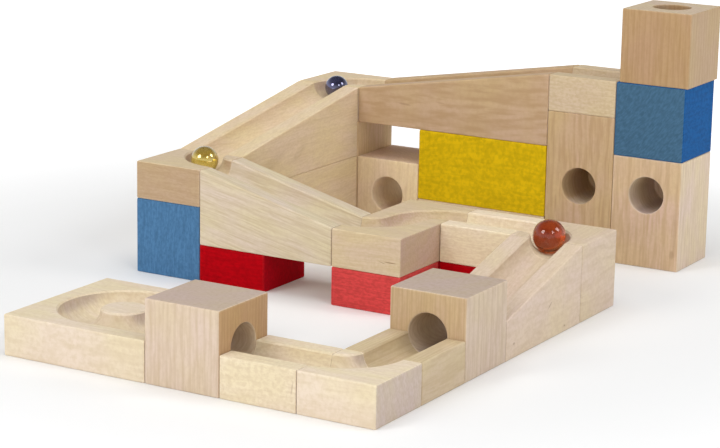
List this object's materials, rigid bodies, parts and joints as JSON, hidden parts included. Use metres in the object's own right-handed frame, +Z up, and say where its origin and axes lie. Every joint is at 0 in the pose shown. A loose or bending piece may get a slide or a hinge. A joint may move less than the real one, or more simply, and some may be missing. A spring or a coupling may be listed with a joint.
{
  "type": "marble run",
  "caption": "Stacked wooden block marble run: grooved ramps, bends and tunnel cubes fall from a drop block on a tower to a round catch tray; glass marbles.",
  "frame": {"origin": "on the ground under the middle of the whole layout", "axes": "+Z up, +Y from the catch tray to the tower row, +X to the tower's side"},
  "size_m": [0.303, 0.4516, 0.175],
  "materials": {
    "natural_beech": "satin",
    "red_stain": "satin",
    "blue_stain": "satin",
    "yellow_stain": "satin",
    "amber_glass": "gloss",
    "yellow_glass": "gloss",
    "dark_blue_glass": "gloss"
  },
  "bodies": {
    "tower_and_supports": {"tower_base": "natural_beech", "bored_tower_block": "natural_beech", "blue_cube_left": "blue_stain", "red_support_left": "red_stain", "red_support_front": "red_stain", "red_support_back": "red_stain", "red_support_right": "red_stain", "side_ramp_support": "natural_beech", "back_corner_column": "natural_beech", "yellow_block_support": "natural_beech"},
    "catch_tray": {"catch_tray": "natural_beech"},
    "front_tunnel_cube": {"front_tunnel_cube": "natural_beech"},
    "front_straight_track": {"front_straight_track": "natural_beech"},
    "low_corner_track": {"low_corner_track": "natural_beech"},
    "right_straight_track": {"right_straight_track": "natural_beech"},
    "right_tunnel_cube": {"right_tunnel_cube": "natural_beech"},
    "lower_ramp": {"lower_ramp": "natural_beech"},
    "tall_corner_track": {"tall_corner_track": "natural_beech"},
    "middle_straight_track": {"middle_straight_track": "natural_beech"},
    "s_curve_track": {"s_curve_track": "natural_beech"},
    "middle_ramp": {"middle_ramp": "natural_beech"},
    "left_corner_track": {"left_corner_track": "natural_beech"},
    "side_ramp": {"side_ramp": "natural_beech"},
    "back_corner_track": {"back_corner_track": "natural_beech"},
    "yellow_block": {"yellow_block": "yellow_stain"},
    "upper_ramp": {"upper_ramp": "natural_beech"},
    "upper_straight_track": {"upper_straight_track": "natural_beech"},
    "blue_cube_right": {"blue_cube_right": "blue_stain"},
    "drop_block": {"drop_block": "natural_beech"},
    "back_tunnel_cube": {"back_tunnel_cube": "natural_beech"},
    "brown_marble": {"brown_marble": "amber_glass"},
    "yellow_marble": {"yellow_marble": "yellow_glass"},
    "blue_marble": {"blue_marble": "dark_blue_glass"}
  },
  "joints": [
    {"name": "catch_tray_lift", "type": "slide", "parent": "tower_and_supports", "child": "catch_tray", "axis": [0, 0, 1], "range_m": [0, 0.055]},
    {"name": "front_tunnel_cube_lift", "type": "slide", "parent": "tower_and_supports", "child": "front_tunnel_cube", "axis": [0, 0, 1], "range_m": [0, 0.055]},
    {"name": "front_straight_track_lift", "type": "slide", "parent": "tower_and_supports", "child": "front_straight_track", "axis": [0, 0, 1], "range_m": [0, 0.055]},
    {"name": "low_corner_track_lift", "type": "slide", "parent": "tower_and_supports", "child": "low_corner_track", "axis": [0, 0, 1], "range_m": [0, 0.055]},
    {"name": "right_straight_track_lift", "type": "slide", "parent": "tower_and_supports", "child": "right_straight_track", "axis": [0, 0, 1], "range_m": [0, 0.055]},
    {"name": "right_tunnel_cube_lift", "type": "slide", "parent": "tower_and_supports", "child": "right_tunnel_cube", "axis": [0, 0, 1], "range_m": [0, 0.055]},
    {"name": "lower_ramp_lift", "type": "slide", "parent": "tower_and_supports", "child": "lower_ramp", "axis": [0, 0, 1], "range_m": [0, 0.055]},
    {"name": "tall_corner_track_lift", "type": "slide", "parent": "tower_and_supports", "child": "tall_corner_track", "axis": [0, 0, 1], "range_m": [0, 0.055]},
    {"name": "middle_straight_track_lift", "type": "slide", "parent": "tower_and_supports", "child": "middle_straight_track", "axis": [0, 0, 1], "range_m": [0, 0.055]},
    {"name": "s_curve_track_lift", "type": "slide", "parent": "tower_and_supports", "child": "s_curve_track", "axis": [0, 0, 1], "range_m": [0, 0.055]},
    {"name": "middle_ramp_lift", "type": "slide", "parent": "tower_and_supports", "child": "middle_ramp", "axis": [0, 0, 1], "range_m": [0, 0.055]},
    {"name": "left_corner_track_lift", "type": "slide", "parent": "tower_and_supports", "child": "left_corner_track", "axis": [0, 0, 1], "range_m": [0, 0.055]},
    {"name": "side_ramp_lift", "type": "slide", "parent": "tower_and_supports", "child": "side_ramp", "axis": [0, 0, 1], "range_m": [0, 0.055]},
    {"name": "back_corner_track_lift", "type": "slide", "parent": "tower_and_supports", "child": "back_corner_track", "axis": [0, 0, 1], "range_m": [0, 0.055]},
    {"name": "yellow_block_lift", "type": "slide", "parent": "tower_and_supports", "child": "yellow_block", "axis": [0, 0, 1], "range_m": [0, 0.08]},
    {"name": "upper_ramp_lift", "type": "slide", "parent": "yellow_block", "child": "upper_ramp", "axis": [0, 0, 1], "range_m": [0, 0.055]},
    {"name": "upper_straight_track_lift", "type": "slide", "parent": "tower_and_supports", "child": "upper_straight_track", "axis": [0, 0, 1], "range_m": [0, 0.08]},
    {"name": "blue_cube_right_lift", "type": "slide", "parent": "tower_and_supports", "child": "blue_cube_right", "axis": [0, 0, 1], "range_m": [0, 0.055]},
    {"name": "drop_block_lift", "type": "slide", "parent": "blue_cube_right", "child": "drop_block", "axis": [0, 0, 1], "range_m": [0, 0.055]},
    {"name": "back_tunnel_cube_draw", "type": "slide", "parent": "tower_and_supports", "child": "back_tunnel_cube", "axis": [0, -1, 0], "range_m": [0, 0.06]},
    {"name": "brown_marble_roll", "type": "hinge", "parent": "tall_corner_track", "child": "brown_marble", "pos_m": [0.0995, 0.0252, 0], "axis": [0, 0, 1], "range_deg": [-37.5, 46.5]},
    {"name": "yellow_marble_roll", "type": "hinge", "parent": "left_corner_track", "child": "yellow_marble", "pos_m": [-0.1015, 0.025, 0], "axis": [0, 0, 1], "range_deg": [-22, 62]},
    {"name": "blue_marble_roll", "type": "hinge", "parent": "back_corner_track", "child": "blue_marble", "pos_m": [-0.1015, 0.1758, 0], "axis": [0, 0, 1], "range_deg": [-66.4, 17.6]}
  ]
}
